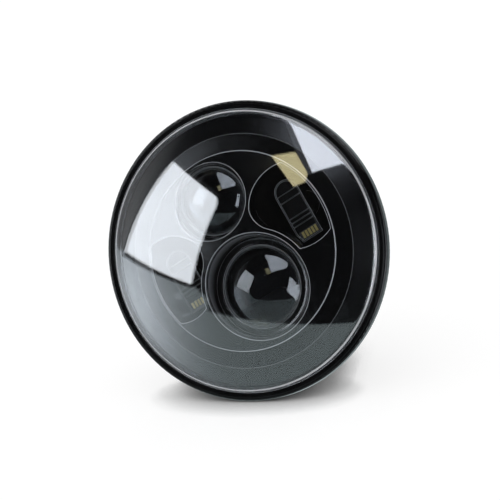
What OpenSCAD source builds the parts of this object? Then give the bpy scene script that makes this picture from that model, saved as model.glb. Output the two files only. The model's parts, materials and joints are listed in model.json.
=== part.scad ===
// Round motorcycle headlight with two projectors, one above the other, and two side lamps.
// The lamp faces -Y, +Z is up, and the origin is the middle of the rim's round edge.
// Every sub-part is drawn with its axis along +Z, then turned to face forward.

/* [Rim and housing] */
// Diameter over the rim
rim_d = 178; // [177:1:200]
// Thickness of the rim along the lamp's axis
rim_t = 7; // [6:0.5:10]
// Width of the rim's face outside the lens
rim_face_w = 4.6; // [4:0.1:7]
// Radius of the rounding on the rim's outer edge
rim_round = 1.2; // [0.6:0.1:2]
// Width of the seat behind the rim, outside the step that enters the bucket
hub_in = 9; // [8.6:0.1:11]
// Depth of that step behind the rim's rear face
hub_depth = 5; // [4:0.5:8]
// How far the housing's cone closes in from that step to the back plate
cone_in = 16; // [14:0.5:18]
// Depth from the middle of the rim to the inner floor
floor_depth = 40; // [39:0.5:46]
// Wall of the cast housing
wall = 3.5; // [3:0.1:4.5]
// Number of cooling fins
fin_count = 36; // [24:1:48]
// Thickness of a cooling fin
fin_t = 2; // [1.5:0.1:2.6]
// Height that a fin stands out from the cone
fin_h = 6; // [4:0.5:8]
// Number of locating lugs behind the rim
lug_count = 3; // [2:1:6]
// Width of a locating lug
lug_w = 9; // [6:0.5:14]

/* [Front lens] */
// Wall of the clear lens
lens_wall = 2.6; // [2:0.1:3]
// Width of the sloped ring and the shoulder outside the dome's crease
crease_in = 14.6; // [12:0.1:16]
// Height of the crease in front of the rim's middle
crease_z = 10.2; // [9.6:0.1:13]
// Rise of the dome above the crease
dome_rise = 12.3; // [11.8:0.1:16]
// Slope of the flat ring outside the crease, in degrees
ring_slope = 24; // [21:0.5:26]
// Radius of the lens's outer shoulder
shoulder_r = 4; // [3.2:0.1:5]
// Clearance round the lens skirt in its groove
lens_gap = 0.4; // [0.3:0.05:0.8]
// Depth of the lens skirt behind the rim's middle
skirt_depth = 3.5; // [2.5:0.5:4]

/* [Bezel] */
// Width of the bezel's sloped ring inside the lens's crease
step_in = 10.1; // [9:0.1:11]
// Height of the dome's foot at the step
step_z = 8.6; // [8:0.1:9]
// Height of the step itself
step_h = 0.7; // [0.4:0.1:1.2]
// Clearance between the bezel's dome and the lens at the top
dome_gap = 1; // [0.8:0.1:2]
// Wall of the bezel
bezel_wall = 2; // [1.4:0.1:2.4]
// Width of the bevel round each projector opening
bevel_w = 1.3; // [0.8:0.1:1.6]
// Radius of the hollow curves at the waist between the openings
waist_r = 16; // [12:0.5:20]
// Wall of the side openings
rib_wall = 1.6; // [1.6:0.1:2]

/* [Low beam projector] */
// Height of the low beam's axis, below the lamp's axis
low_drop = 24.4; // [24:0.1:26]
// Radius of the low beam opening over its bevel
low_open_r = 32.2; // [31.6:0.1:33]
// Width of the low beam ring's face round the glass
low_face_w = 4.4; // [4:0.1:7]
// Rise of the low beam glass
low_rise = 9.4; // [6:0.1:10]
// Height of the low beam glass's seat
low_seat_z = 4; // [2:0.5:5]

/* [High beam projector] */
// Height of the high beam's axis above the lamp's axis
high_lift = 34.4; // [34:0.1:35]
// Radius of the high beam opening over its bevel
high_open_r = 23.6; // [23:0.1:23.8]
// Width of the high beam ring's face round the glass
high_face_w = 1.7; // [1.5:0.1:4]
// Rise of the high beam glass
high_rise = 7.4; // [5:0.1:7.8]
// Height of the high beam glass's seat
high_seat_z = 5; // [3:0.5:5.5]

/* [Projector parts] */
// Thickness of a glass's flange
flange_t = 2; // [1.5:0.1:2.5]
// Width of a glass's flange outside its dome
flange_w = 0.8; // [0.6:0.1:1.2]
// Thickness of the lip that holds the glass
lip_t = 1.6; // [1.2:0.1:2]
// Gap between a lens ring and the bezel's bore
ring_gap = 0.4; // [0.3:0.05:0.6]
// Wall of the lens holders and reflectors
cup_wall = 1.5; // [1.2:0.1:2]
// Thickness of the cut-off shield
shield_t = 1; // [0.8:0.1:1.5]
// Height of the shield's step
shield_step = 2; // [1:0.1:3]
// Depth of the shield's plane behind the rim's middle
shield_depth = 15; // [13:0.5:17]

/* [Side lamps] */
// Distance of a side bowl's axis inside the bezel's step
bowl_in = 15.8; // [14.5:0.1:17]
// Height of the side bowls' axes
bowl_y = 6; // [4:0.1:8]
// Radius of a side bowl's opening
bowl_r = 26; // [24:0.1:27]
// Height of the bowls' front edges
bowl_top_z = 6.5; // [6:0.1:6.8]
// Depth of a side bowl
bowl_depth = 19.5; // [18:0.1:21]
// Wall of a side bowl
bowl_wall = 1.2; // [1:0.1:1.4]
// Distance of a lamp bar's middle inside the bowl's axis
bar_in = 2.9; // [1.5:0.1:4]
// Width of a lamp bar
bar_w = 16; // [14:0.1:17]
// Distance of a lamp bar's rounded top inside the bowl's edge
bar_top_in = 8.5; // [7:0.5:12]
// Distance of a lamp bar's lowest edge inside the bowl's edge
bar_bottom_in = 5; // [3:0.5:6]
// Height of a lamp bar's front face
bar_front_z = 3; // [2:0.5:4]
// Thickness of a lamp bar's tongue
bar_t = 5; // [4.5:0.5:6]
// Number of LED chips on a lamp bar
bar_chips = 5; // [3:1:6]

/* [Inside] */
// Thickness of the heat spreader plate
plate_t = 4; // [3:0.5:5]
// Gap between the heat spreader plate and the back plate's edge
plate_in = 7; // [6:0.5:8]
// Thickness of the circuit boards
board_t = 1.6; // [1:0.1:2]
// Radius of the boards under the projectors
board_r = 15; // [14:0.5:16]
// Side of a large LED chip
chip_w = 3.4; // [2:0.1:4.5]
// Height of a LED chip
chip_h = 0.8; // [0.5:0.1:1.2]
// Radius of the screws' threads
screw_r = 1.5; // [1.2:0.1:1.8]
// Clearance round the screws
screw_gap = 0.1; // [0.05:0.05:0.2]

/* [Rear] */
// Inner radius of the driver chamber
chamber_r = 34; // [32:0.5:36]
// Depth of the driver chamber behind the housing's back plate
chamber_depth = 14; // [13:0.5:18]
// Thickness of the rear cover
cover_t = 3; // [2.5:0.1:4]
// Radius of the driver board
driver_r = 28; // [27:0.5:29]
// Length of the standoffs under the driver board
standoff_h = 4; // [3:0.5:4.5]
// Radius of the cable gland's thread
gland_r = 6; // [5.5:0.1:7]
// Radius of the hole for the cable
cable_r = 3.2; // [2.5:0.1:3.6]
// Height of the gland's dome nut
gland_nut_h = 9; // [7:0.5:12]
// Height of the vent above the lamp's axis
vent_y = 20; // [18:0.5:22]
// Radius of the vent plug's head
vent_r = 5; // [4:0.5:6]

/* [Hidden] */
$fn = 120;

// Radius of the sphere whose cap has this base radius and this rise
function cap_radius(base, rise) = (base * base + rise * rise) / (2 * rise);

// Height above its centre of a sphere's surface at this distance from the axis
function ball_z(radius, at) = sqrt(radius * radius - at * at);

// Sizes of the rim and housing
rim_r = rim_d / 2;
rim_front_z = rim_t / 2;
rim_back_z = -rim_t / 2;
rim_ledge_w = 1.8;
rim_ledge_h = 0.8;
hub_r = rim_r - hub_in;
hub_z = rim_back_z - hub_depth;
back_r = hub_r - cone_in;
floor_z = -floor_depth;
back_z = floor_z - wall;
hub_wall = 1.5;
fin_front_z = hub_z - 4;
chamber_z = back_z - chamber_depth;

// Sizes of the lens
lens_r = rim_r - rim_face_w - lens_gap;
groove_z = -skirt_depth - 1;
crease_r = lens_r - crease_in;
dome_r = cap_radius(crease_r, dome_rise);
dome_z = crease_z + dome_rise - dome_r;
ring_normal = [sin(ring_slope), cos(ring_slope)];
ring_level = ring_normal * [crease_r, crease_z];
shoulder_x = lens_r - shoulder_r;
shoulder_z = (ring_level - shoulder_r - ring_normal[0] * shoulder_x) / ring_normal[1];
skirt_in_r = lens_r - lens_wall;
ledge_r = skirt_in_r - lens_gap;

// Sizes of the bezel
step_r = crease_r - step_in;
bezel_top_z = crease_z + dome_rise - lens_wall - dome_gap;
bezel_r = cap_radius(step_r, bezel_top_z - step_z);
bezel_z = bezel_top_z - bezel_r;
bezel_edge_r = ledge_r - lens_gap;
bezel_edge_h = 4.7;
bezel_edge_z = rim_back_z + bezel_edge_h;
bezel_seat_z = bezel_edge_z - bezel_wall;
side_limit_r = step_r - 1.4;
low_y = -low_drop;
high_y = high_lift;
low_web_r = low_open_r + 3;
high_web_r = high_open_r + 1.8;
collar_wall = 0.4;
collar_end_z = min(low_seat_z, high_seat_z) - 0.5;
pillar_r = 3.6;
pillar_x = 30;
pillar_y = low_drop + sqrt(pow(low_open_r + pillar_r + 1.2, 2) - pillar_x * pillar_x);
pillar_at = [pillar_x, pillar_y];

// Sizes of the projectors
low_slope_w = 1.7;
low_ring_r = low_open_r - bevel_w - low_slope_w - ring_gap;
high_ring_r = high_open_r - bevel_w - ring_gap;
low_glass_r = low_ring_r - low_face_w;
high_glass_r = high_ring_r - high_face_w;
low_flange_r = low_glass_r + flange_w;
high_flange_r = high_glass_r + flange_w;
shield_z = -shield_depth;
reflector_flange_t = 1.5;
ear_t = 3;
ear_r = 3.5;
low_ear_x = low_ring_r + 2.8;
high_ear_x = high_ring_r + 3.2;
plate_z = floor_z + plate_t;
plate_r = back_r - plate_in;
board_z = plate_z + board_t;
wire_y = 4.8;
head_r = 2.6;
head_h = 2;
thread_in = 7;

// Sizes of the side lamps
bowl_x = step_r - bowl_in;
bar_x = bowl_x - bar_in;
bar_top_y = bowl_y + bowl_r - bar_top_in;
bar_bottom_y = bowl_r - bowl_y - bar_bottom_in;
bowl_ball_r = cap_radius(bowl_r, bowl_depth);
bowl_ball_z = bowl_top_z - bowl_depth + bowl_ball_r;
bowl_pad_z = bowl_top_z - bowl_depth + 2.5;
bowl_post_r = 6;
bar_gap = 0.6;
bar_board_y = -bar_bottom_y + 1.2;
bar_board_h = 5.5;
bar_chip_w = 1.4;
bar_chip_pitch = 2.2;

// Sizes of the rear
cover_z = chamber_z - cover_t;
chamber_out_r = chamber_r + wall;
seal_t = 1;
cover_screw_r = chamber_out_r + 1.6;
driver_z = back_z - standoff_h;
capacitor_r = 4;
coil_r = 6;
coil_in_r = 2.5;
chip_pack = [8, 6, 2.2];
pad_size = [18, 10];
gland_hex_h = 4;
gland_hex_w = 3.5;
gland_wall = 1.6;
gland_thread_h = 6;
locknut_h = 2.6;
nut_w = 2.8;
vent_h = 2.2;
vent_stem_in = 1.5;

// Turns a sub-part that is drawn along +Z so that it faces forward
module face_forward() {
  rotate([90, 0, 0]) children();
}

// Tube between two heights
module tube(outer, inner, low, high) {
  translate([0, 0, low]) difference() {
    cylinder(h = high - low, r = outer);
    translate([0, 0, -1]) cylinder(h = high - low + 2, r = inner);
  }
}

// Solid cylinder between two heights
module rod(radius, low, high) {
  translate([0, 0, low]) cylinder(h = high - low, r = radius);
}

// Copies to both sides of the middle
module both_sides() {
  children();
  mirror([1, 0, 0]) children();
}

// Copies to four places, mirrored left to right and top to bottom
module four_ways() {
  both_sides() children();
  mirror([0, 1, 0]) both_sides() children();
}

// Radius of the housing's cone at a height
function cone_r(z) = hub_r + (back_r - hub_r) * (z - hub_z) / (back_z - hub_z);

// Half section of the cast bowl with its rim and lens groove
module housing_section() {
  edge = rim_round;
  polygon([
    [cone_r(hub_z) - wall, bezel_seat_z], [ledge_r, bezel_seat_z], [ledge_r, groove_z],
    [lens_r + lens_gap, groove_z], [lens_r + lens_gap, rim_front_z],
    [rim_r - rim_ledge_w, rim_front_z], [rim_r - rim_ledge_w, rim_front_z - rim_ledge_h],
    [rim_r - edge, rim_front_z - rim_ledge_h], [rim_r - edge, rim_back_z],
    [lens_r + hub_wall, rim_back_z], [lens_r + hub_wall, hub_z], [hub_r, hub_z],
    [back_r, back_z], [0, back_z], [0, floor_z],
    [cone_r(floor_z) - wall, floor_z], [cone_r(hub_z) - wall, hub_z]
  ]);
  translate([rim_r - edge - 0.1, rim_back_z + edge])
    square([edge + 0.1, rim_t - rim_ledge_h - 2 * edge]);
  translate([rim_r - edge, rim_back_z + edge]) circle(edge);
  translate([rim_r - edge, rim_front_z - rim_ledge_h - edge]) circle(edge);
}

// Outline of the driver chamber and its cover: a disc with four ears for screws
module cover_outline() {
  circle(chamber_out_r);
  for (a = [45 : 90 : 315]) rotate(a) translate([cover_screw_r, 0]) circle(ear_r + 1);
}

// One radial fin, drawn in the plane of its radius and height
module fin() {
  rotate([90, 0, 0]) linear_extrude(fin_t, center = true) polygon([
    [chamber_out_r - 1, back_z + 1], [chamber_out_r - 1, chamber_z + 1],
    [chamber_out_r + 6, chamber_z], [cone_r(chamber_z) + fin_h - 2, chamber_z],
    [cone_r(chamber_z) + fin_h, chamber_z + 3],
    [cone_r(fin_front_z) + fin_h / 2, fin_front_z - 3], [cone_r(fin_front_z) - 1, fin_front_z],
    [cone_r(back_z + 1) - 1, back_z + 1]
  ]);
}

// Die-cast housing with rim, fins, locating lugs and driver chamber
module housing() {
  color([0.05, 0.05, 0.055]) face_forward() {
    difference() {
      union() {
        rotate_extrude() housing_section();
        for (i = [0 : fin_count - 1]) rotate([0, 0, i * 360 / fin_count]) fin();
        for (i = [0 : lug_count - 1]) rotate([0, 0, 90 + i * 360 / lug_count])
          translate([hub_r - 2, -lug_w / 2, hub_z - 4]) cube([6, lug_w, 4.5]);
        translate([0, 0, chamber_z]) linear_extrude(chamber_depth + 1) difference() {
          cover_outline();
          circle(chamber_r);
        }
        four_ways() rotate([0, 0, 45]) translate([driver_r - 3, 0, 0])
          rod(ear_r, driver_z, back_z + 1);
      }
      four_ways() rotate([0, 0, 45]) translate([cover_screw_r, 0, 0])
        rod(screw_r + screw_gap, chamber_z - 1, back_z - 1);
      for (i = [0 : 3]) rotate([0, 0, i * 90]) translate([plate_r - 5, 0, 0])
        rod(screw_r + screw_gap, back_z + 1, floor_z + 1);
      translate([0, wire_y, 0]) rod(4, back_z - 1, floor_z + 1);
      rod(chamber_r, chamber_z - 1, back_z - standoff_h - 2 * board_t);
    }
  }
}

// Sealing bead under and outside the lens skirt
module lens_seal() {
  color([0.75, 0.76, 0.78]) face_forward() {
    tube(lens_r + lens_gap, ledge_r, groove_z, -skirt_depth);
    tube(lens_r + lens_gap, lens_r, -skirt_depth - 0.01, rim_front_z - 1);
  }
}

// Half section of the lens: dome, sloped ring, round shoulder and skirt, each reaching into the next
module lens_section() {
  inner_r = dome_r - lens_wall;
  middle_r = shoulder_r - lens_wall / 2;
  lap = 12;
  centre = [shoulder_x, shoulder_z];
  corner_z = (ring_level - ring_normal[0] * lens_r) / ring_normal[1];
  intersection() {
    translate([0, dome_z]) difference() {
      circle(dome_r);
      circle(inner_r);
    }
    square([crease_r, crease_z + dome_rise + 1]);
  }
  polygon([
    [crease_r, dome_z + ball_z(inner_r, crease_r)], centre + (shoulder_r - lens_wall) * ring_normal,
    centre + middle_r * [sin(ring_slope + lap), cos(ring_slope + lap)],
    centre + shoulder_r * ring_normal, [crease_r, crease_z],
    [crease_r - 1, dome_z + ball_z(dome_r - lens_wall / 2, crease_r - 1)]
  ]);
  intersection() {
    translate(centre) difference() {
      circle(shoulder_r);
      circle(shoulder_r - lens_wall);
    }
    polygon([centre, centre + shoulder_r * ring_normal, [lens_r, corner_z], [lens_r, shoulder_z]]);
  }
  polygon([
    [skirt_in_r, -skirt_depth], [lens_r, -skirt_depth], [lens_r, shoulder_z],
    centre + middle_r * [cos(lap), sin(lap)], [skirt_in_r, shoulder_z]
  ]);
}

// Clear front lens
module front_lens() {
  color([0.85, 0.88, 0.9, 0.25]) face_forward() rotate_extrude() lens_section();
}

// Outline of the raised eight-shaped web's right half, grown by an amount
module web_outline(grow) {
  low = low_web_r + grow;
  high = high_web_r + grow;
  arc = waist_r - grow;
  reach = 0.03;
  span = high_y - low_y;
  along = ((low + arc) * (low + arc) - (high + arc) * (high + arc) + span * span) / (2 * span);
  arc_x = sqrt((low + arc) * (low + arc) - along * along);
  arc_y = low_y + along;
  translate([0, low_y]) circle(low);
  translate([0, high_y]) circle(high);
  difference() {
    polygon([[0, low_y], [arc_x, arc_y], [0, high_y]]);
    translate([arc_x, arc_y]) circle(arc + reach);
  }
}

// Prism of the right side opening, grown by an amount, between two heights
module side_prism(grow, low, high) {
  translate([0, 0, low]) linear_extrude(high - low) difference() {
    intersection() {
      translate([bowl_x, bowl_y]) circle(bowl_r + grow);
      circle(side_limit_r + grow);
    }
    web_outline(-grow);
  }
}

// Bevel round a projector opening, square to the bezel's dome
module bevel_cut(at_y, open_r) {
  level = ball_z(bezel_r, open_r);
  translate([0, 0, bezel_z]) rotate([-asin(at_y / bezel_r), 0, 0])
    translate([0, 0, level - bevel_w])
      cylinder(h = 6, r1 = open_r - bevel_w, r2 = open_r - bevel_w + 6);
}

// Solid below the bezel's dome, inside the step
module under_dome() {
  rotate_extrude() intersection() {
    translate([0, bezel_z]) circle(bezel_r);
    translate([0, plate_z]) square([step_r, bezel_top_z - plate_z + 1]);
  }
}

// Half section of the bezel's skin: dome, step and sloped ring with its foot
module bezel_section() {
  intersection() {
    translate([0, bezel_z]) difference() {
      circle(bezel_r);
      circle(bezel_r - bezel_wall);
    }
    square([step_r, bezel_top_z + 1]);
  }
  polygon([
    [bezel_edge_r - 3, bezel_seat_z], [bezel_edge_r, bezel_seat_z], [bezel_edge_r, bezel_edge_z],
    [step_r, step_z - step_h],
    [step_r - 0.3, bezel_z + ball_z(bezel_r - bezel_wall / 2, step_r - 0.3)],
    [step_r, step_z - step_h - bezel_wall - 0.1]
  ]);
}

// Domed bezel with collars behind the openings and pillars down to the heat plate
module bezel() {
  low_top_r = low_open_r - bevel_w - 0.2;
  low_end_r = low_ring_r + ring_gap;
  lip_z = low_seat_z + flange_t + lip_t;
  color([0.09, 0.09, 0.1]) face_forward() difference() {
    union() {
      rotate_extrude() bezel_section();
      intersection() {
        under_dome();
        union() {
          translate([0, low_y, 0]) rod(low_open_r + collar_wall, collar_end_z, bezel_top_z + 1);
          translate([0, high_y, 0]) rod(high_open_r + collar_wall, collar_end_z, bezel_top_z + 1);
          both_sides() side_prism(rib_wall, bowl_top_z, bezel_top_z);
          four_ways() translate([pillar_at[0], pillar_at[1], 0])
            rod(pillar_r, plate_z, bezel_top_z);
        }
      }
    }
    translate([0, low_y, 0]) rotate_extrude() polygon([
      [0, collar_end_z - 1], [low_end_r, collar_end_z - 1], [low_end_r, lip_z],
      [low_top_r, bezel_top_z + 1], [0, bezel_top_z + 1]
    ]);
    translate([0, high_y, 0]) rod(high_ring_r + ring_gap, collar_end_z - 1, bezel_top_z + 1);
    bevel_cut(low_y, low_open_r);
    bevel_cut(high_y, high_open_r);
    both_sides() side_prism(0, bowl_top_z - 1, bezel_top_z + 1);
    four_ways() translate([pillar_at[0], pillar_at[1], 0])
      rod(screw_r + screw_gap, plate_z - 1, plate_z + thread_in + 1);
  }
}

// Glass of a projector: flange and dome
module glass(at_y, glass_r, rise, flange_r, seat_z) {
  ball = cap_radius(glass_r, rise);
  translate([0, at_y, seat_z]) rotate_extrude() {
    square([flange_r, flange_t]);
    intersection() {
      translate([0, flange_t + rise - ball]) circle(ball);
      translate([0, flange_t / 2]) square([glass_r, flange_t / 2 + rise]);
    }
  }
}

// Ring that holds a glass, with a hollow face round the glass
module lens_ring(at_y, glass_r, flange_r, ring_r, seat_z) {
  hollow = 6;
  face_w = ring_r - glass_r;
  translate([0, at_y, seat_z]) rotate_extrude() difference() {
    translate([glass_r + 0.2, 0]) square([ring_r - glass_r - 0.2, flange_t + lip_t]);
    translate([0, -1]) square([flange_r + 0.2, flange_t + 1]);
    translate([glass_r + face_w / 2, flange_t + lip_t + ball_z(hollow, face_w / 2 - 0.5)])
      circle(hollow);
  }
}

// Tube that carries a glass, with two ears for screws
module lens_holder(at_y, flange_r, ring_r, seat_z, ear_x) {
  translate([0, at_y, 0]) difference() {
    union() {
      rod(ring_r, shield_z + shield_t, seat_z);
      both_sides() translate([ear_x, 0, 0]) rod(ear_r, shield_z + shield_t, shield_z + shield_t + ear_t);
    }
    rod(flange_r - 3, seat_z - 3, seat_z + 1);
    rod(ring_r - cup_wall, shield_z, seat_z - 2);
    both_sides() translate([ear_x, 0, 0])
      rod(screw_r + screw_gap, shield_z, shield_z + shield_t + ear_t + 1);
  }
}

// Reflector bowl of a projector on its foot, with two legs down to the heat plate
module reflector(at_y, ring_r, ear_x, front_z) {
  mouth_r = ring_r - cup_wall - 0.5;
  depth = front_z - board_z - 3;
  ball = cap_radius(mouth_r, depth);
  foot_r = 9;
  translate([0, at_y, 0]) difference() {
    union() {
      rotate_extrude() {
        intersection() {
          translate([0, front_z - depth + ball]) circle(ball + cup_wall);
          translate([0, board_z]) square([ring_r, front_z - board_z]);
        }
        translate([mouth_r - 1, front_z - reflector_flange_t])
          square([ring_r - mouth_r + 1, reflector_flange_t]);
        translate([0, board_z]) square([foot_r, front_z - depth - board_z + 1]);
      }
      both_sides() translate([ear_x, 0, 0]) rod(ear_r, plate_z, front_z);
      both_sides() translate([ring_r - 2, -1.5, front_z - reflector_flange_t])
        cube([ear_x - ring_r + 2, 3, reflector_flange_t]);
    }
    intersection() {
      translate([0, 0, front_z - depth + ball]) sphere(ball);
      rod(mouth_r, board_z, front_z + 1);
    }
    rod(foot_r - cup_wall, board_z - 1, front_z - depth + 1.5);
    both_sides() translate([ear_x, 0, 0]) rod(screw_r + screw_gap, front_z - thread_in - 1, front_z + 1);
  }
}

// Round board of a projector
module led_board(at_y) {
  translate([0, at_y, 0]) difference() {
    rod(board_r, plate_z, board_z);
    both_sides() translate([board_r - 2.5, 0, 0]) rod(1, plate_z - 1, board_z + 1);
  }
}

// Two by two group of large chips in the middle of a board
module led_chips(at_y) {
  pitch = chip_w + 0.6;
  for (ix = [-0.5, 0.5], iy = [-0.5, 0.5])
    translate([ix * pitch - chip_w / 2, at_y + iy * pitch - chip_w / 2, board_z])
      cube([chip_w, chip_w, chip_h]);
}

module low_beam_lens() {
  color([0.8, 0.85, 0.88, 0.4]) face_forward()
    glass(low_y, low_glass_r, low_rise, low_flange_r, low_seat_z);
}

module low_lens_ring() {
  color([0.07, 0.07, 0.08]) face_forward()
    lens_ring(low_y, low_glass_r, low_flange_r, low_ring_r, low_seat_z);
}

module low_lens_holder() {
  color([0.12, 0.12, 0.13]) face_forward()
    lens_holder(low_y, low_flange_r, low_ring_r, low_seat_z, low_ear_x);
}

// Plate that cuts the low beam off, with its step in the middle
module low_cutoff_shield() {
  color([0.2, 0.2, 0.21]) face_forward() translate([0, low_y, 0]) difference() {
    union() {
      rod(low_ring_r, shield_z, shield_z + shield_t);
      both_sides() translate([low_ear_x, 0, 0]) rod(ear_r, shield_z, shield_z + shield_t);
    }
    translate([0, 0, shield_z - 1]) linear_extrude(shield_t + 2) intersection() {
      circle(low_ring_r - cup_wall - 0.5);
      polygon([
        [-low_ring_r, 0], [-shield_step, 0], [0, -shield_step], [low_ring_r, -shield_step],
        [low_ring_r, low_ring_r], [-low_ring_r, low_ring_r]
      ]);
    }
    both_sides() translate([low_ear_x, 0, 0])
      rod(screw_r + screw_gap, shield_z - 1, shield_z + shield_t + 1);
  }
}

module low_reflector() {
  color([0.7, 0.71, 0.73]) face_forward() reflector(low_y, low_ring_r, low_ear_x, shield_z);
}

module low_led_board() {
  color([0.85, 0.86, 0.85]) face_forward() led_board(low_y);
}

module low_led_chips() {
  color([0.92, 0.85, 0.45]) face_forward() led_chips(low_y);
}

module high_beam_lens() {
  color([0.8, 0.85, 0.88, 0.4]) face_forward()
    glass(high_y, high_glass_r, high_rise, high_flange_r, high_seat_z);
}

module high_lens_ring() {
  color([0.07, 0.07, 0.08]) face_forward()
    lens_ring(high_y, high_glass_r, high_flange_r, high_ring_r, high_seat_z);
}

module high_lens_holder() {
  color([0.12, 0.12, 0.13]) face_forward()
    lens_holder(high_y, high_flange_r, high_ring_r, high_seat_z, high_ear_x);
}

module high_reflector() {
  color([0.7, 0.71, 0.73]) face_forward()
    reflector(high_y, high_ring_r, high_ear_x, shield_z + shield_t);
}

module high_led_board() {
  color([0.85, 0.86, 0.85]) face_forward() led_board(high_y);
}

module high_led_chips() {
  color([0.92, 0.85, 0.45]) face_forward() led_chips(high_y);
}

// Right side bowl: a ball-shaped hollow with walls that follow the bezel's side opening
module side_reflector() {
  floor_out_z = bowl_top_z - bowl_depth - bowl_wall;
  difference() {
    union() {
      intersection() {
        translate([bowl_x, bowl_y, bowl_ball_z]) sphere(bowl_ball_r + bowl_wall);
        side_prism(bowl_wall, floor_out_z - 1, bowl_top_z);
      }
      translate([bowl_x, bowl_y, 0]) rod(bowl_post_r, plate_z, bowl_pad_z);
    }
    difference() {
      intersection() {
        translate([bowl_x, bowl_y, bowl_ball_z]) sphere(bowl_ball_r);
        side_prism(0, floor_out_z - 1, bowl_top_z + 1);
      }
      translate([bowl_x, bowl_y, 0]) rod(bowl_post_r + 2, plate_z, bowl_pad_z);
    }
  }
}

// Front outline of the lamp bar: straight sides and a rounded top
module bar_outline(inset) {
  half = bar_w / 2 - inset;
  translate([-half, -bar_bottom_y + inset])
    square([2 * half, bar_top_y + bar_bottom_y - bar_w / 2 - inset]);
  translate([0, bar_top_y - bar_w / 2]) circle(half);
}

// Right lamp bar: tongue with raised edges, cross ribs and a stem on the bowl's pad
module lamp_bar() {
  difference() {
    union() {
      intersection() {
        translate([bowl_x, bowl_y, bowl_ball_z]) sphere(bowl_ball_r - bar_gap);
        side_prism(-bar_gap, bowl_pad_z, bowl_top_z);
        translate([bar_x, 0, 0]) difference() {
          translate([0, 0, bar_front_z - bar_t]) linear_extrude(bar_t) bar_outline(0);
          translate([0, 0, bar_front_z - 1.2]) linear_extrude(2) bar_outline(1.2);
        }
      }
      intersection() {
        translate([bar_x, 0, 0]) linear_extrude(bar_front_z - 0.3) bar_outline(0);
        translate([bar_x - bar_w / 2 + 0.6, 0, 0]) {
          for (y = [-4.5, -1.8, 0.9, 11.5])
            translate([0, y - 0.5, bar_front_z - 1.5]) cube([bar_w - 1.2, 1, 1.2]);
          translate([0, 15.5, bar_front_z - 1.5]) cube([bar_w - 1.2, 0.8, 1.2]);
        }
      }
      translate([bowl_x - bowl_post_r + 1, bowl_y - 7, bowl_pad_z])
        cube([2 * bowl_post_r - 3, 14, bar_front_z - bar_t - bowl_pad_z + 0.5]);
    }
    translate([bar_x - bar_w / 2 + 1.2, bar_board_y, bar_front_z - 1.2 - board_t])
      cube([bar_w - 2.4, bar_board_h, board_t + 2]);
  }
}

// Small board in the bar's lower recess
module bar_board() {
  translate([bar_x - bar_w / 2 + 1.8, bar_board_y + 0.2, bar_front_z - 1.2 - board_t])
    cube([bar_w - 3.2, bar_board_h - 0.4, board_t]);
}

// Row of upright chips on the bar's board
module bar_chip_row() {
  for (i = [0 : bar_chips - 1])
    translate([
      bar_x + 0.6 + (i - (bar_chips - 1) / 2) * bar_chip_pitch - bar_chip_w / 2,
      bar_board_y + 0.8, bar_front_z - 1.2
    ]) cube([bar_chip_w, bar_board_h - 1.6, chip_h]);
}

module right_side_reflector() {
  color([0.3, 0.3, 0.31]) face_forward() side_reflector();
}

module left_side_reflector() {
  color([0.3, 0.3, 0.31]) face_forward() mirror([1, 0, 0]) side_reflector();
}

module right_lamp_bar() {
  color([0.15, 0.15, 0.16]) face_forward() lamp_bar();
}

module left_lamp_bar() {
  color([0.15, 0.15, 0.16]) face_forward() mirror([1, 0, 0]) lamp_bar();
}

module right_bar_board() {
  color([0.16, 0.16, 0.15]) face_forward() bar_board();
}

module left_bar_board() {
  color([0.16, 0.16, 0.15]) face_forward() mirror([1, 0, 0]) bar_board();
}

module right_bar_chips() {
  color([0.85, 0.8, 0.4]) face_forward() bar_chip_row();
}

module left_bar_chips() {
  color([0.85, 0.8, 0.4]) face_forward() mirror([1, 0, 0]) bar_chip_row();
}

// Heat spreader that carries the projectors and the bowls
module heat_plate() {
  color([0.75, 0.76, 0.78]) face_forward() difference() {
    rod(plate_r, floor_z, plate_z);
    for (i = [0 : 3]) rotate([0, 0, i * 90]) translate([plate_r - 5, 0, 0])
      rod(screw_r + screw_gap, floor_z - 1, plate_z + 1);
    four_ways() translate([pillar_at[0], pillar_at[1], 0]) {
      rod(screw_r + screw_gap, floor_z - 1, plate_z + 1);
      rod(head_r + screw_gap, floor_z - 1, floor_z + head_h + screw_gap);
    }
    translate([0, wire_y, 0]) rod(3, floor_z - 1, plate_z + 1);
  }
}

// Screw with its head's seat at a height, its thread going down
module screw(seat_z, length) {
  rod(screw_r, seat_z - length, seat_z + head_h / 2);
  difference() {
    rod(head_r, seat_z, seat_z + head_h);
    translate([0, 0, seat_z + head_h / 2]) cylinder(h = head_h, r = head_r / 2, $fn = 6);
  }
}

// Screws through the ears of both lens holders
module projector_screws() {
  seat = shield_z + shield_t + ear_t;
  color([0.7, 0.7, 0.72]) face_forward() both_sides() {
    translate([low_ear_x, low_y, 0]) screw(seat, ear_t + thread_in);
    translate([high_ear_x, high_y, 0]) screw(seat, ear_t + thread_in);
  }
}

// Screws from below the heat plate into the bezel's pillars
module bezel_screws() {
  color([0.7, 0.7, 0.72]) face_forward() four_ways() translate([pillar_at[0], pillar_at[1], 0])
    translate([0, 0, floor_z + head_h + screw_gap]) mirror([0, 0, 1])
      screw(0, thread_in + plate_t - head_h);
}

// Screws that hold the heat plate on the housing's floor
module plate_screws() {
  color([0.7, 0.7, 0.72]) face_forward() for (i = [0 : 3]) rotate([0, 0, i * 90])
    translate([plate_r - 5, 0, 0]) screw(plate_z, plate_t + wall - 1.5);
}

// Round driver board on the housing's standoffs
module driver_board() {
  color([0.1, 0.3, 0.16]) face_forward() difference() {
    rod(driver_r, driver_z - board_t, driver_z);
    translate([0, wire_y, 0]) rod(3.5, driver_z - board_t - 1, driver_z + 1);
  }
}

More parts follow.
